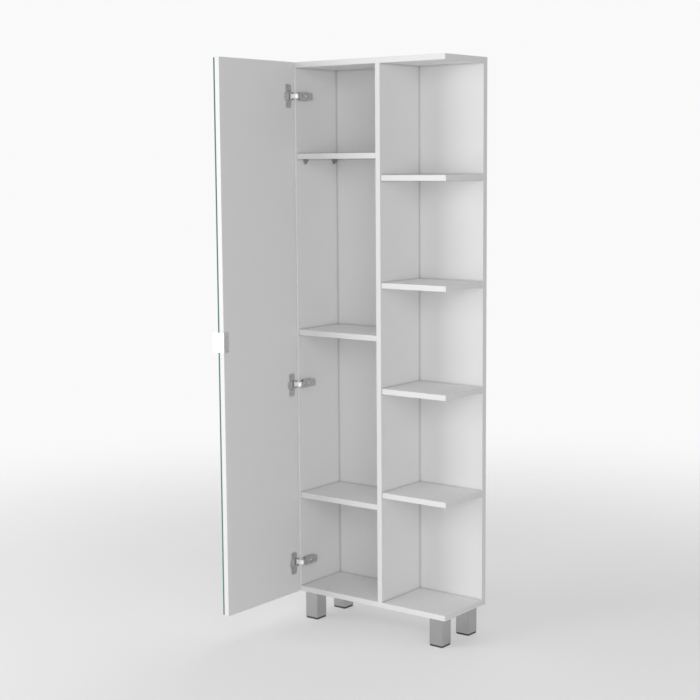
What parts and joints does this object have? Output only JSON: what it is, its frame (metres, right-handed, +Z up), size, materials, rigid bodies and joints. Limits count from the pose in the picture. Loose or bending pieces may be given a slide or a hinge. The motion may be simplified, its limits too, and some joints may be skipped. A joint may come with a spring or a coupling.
{
  "type": "linen cabinet",
  "caption": "Tall narrow linen cabinet on short square legs, with a full-height mirrored door over the left bay and open shelves on the right.",
  "frame": {"origin": "on the floor, under the centre of the carcass footprint (the open door is not counted)", "axes": "+Z up, +Y towards the back board, +X towards the open shelves; the front faces -Y"},
  "size_m": [0.5335, 0.5061, 1.563],
  "materials": {
    "white_board": "satin white melamine",
    "support_plastic": "matte",
    "zinc_steel": "zinc plated",
    "beech": "plain fluted beech",
    "leg_aluminium": "satin anodised",
    "black_plastic": "matte",
    "nickel_steel": "nickel plated",
    "mirror_glass": "silvered, polished green edge",
    "foam_tape": "foam",
    "pull_metal": "satin anodised"
  },
  "bodies": {
    "cabinet": {"left_side_panel": "white_board", "divider_panel": "white_board", "top_panel": "white_board", "bottom_panel": "white_board", "back_panel": "white_board", "inner_shelf_lower": "white_board", "inner_shelf_middle": "white_board", "inner_shelf_upper": "white_board", "open_shelf_1": "white_board", "open_shelf_2": "white_board", "open_shelf_3": "white_board", "open_shelf_4": "white_board", "shelf_supports": "support_plastic", "carcass_screws": "zinc_steel", "leg_screws": "zinc_steel", "hinge_plate_screws": "zinc_steel", "arm_fixing_screws": "zinc_steel", "arm_adjusting_screws": "zinc_steel", "wooden_dowels": "beech", "leg_front_left": "leg_aluminium", "leg_front_right": "leg_aluminium", "leg_rear_left": "leg_aluminium", "leg_rear_right": "leg_aluminium", "glide_front_left": "black_plastic", "glide_front_right": "black_plastic", "glide_rear_left": "black_plastic", "glide_rear_right": "black_plastic", "leg_plate_front_left": "black_plastic", "leg_plate_front_right": "black_plastic", "leg_plate_rear_left": "black_plastic", "leg_plate_rear_right": "black_plastic", "hinge_plate_lower": "nickel_steel", "hinge_plate_middle": "nickel_steel", "hinge_plate_upper": "nickel_steel", "hinge_arm_lower": "nickel_steel", "hinge_arm_middle": "nickel_steel", "hinge_arm_upper": "nickel_steel"},
    "door": {"door_panel": "white_board", "door_mirror": "mirror_glass", "mirror_tape": "foam_tape", "hinge_cup_lower": "nickel_steel", "hinge_cup_middle": "nickel_steel", "hinge_cup_upper": "nickel_steel", "hinge_pins": "zinc_steel", "cup_screws": "zinc_steel", "edge_pull": "pull_metal", "pull_screws": "zinc_steel"}
  },
  "joints": [
    {"name": "door_hinge", "type": "hinge", "parent": "cabinet", "child": "door", "pos_m": [-0.2485, -0.108, 0.82], "axis": [0, 0, -1], "range_deg": [-90, 15]}
  ]
}
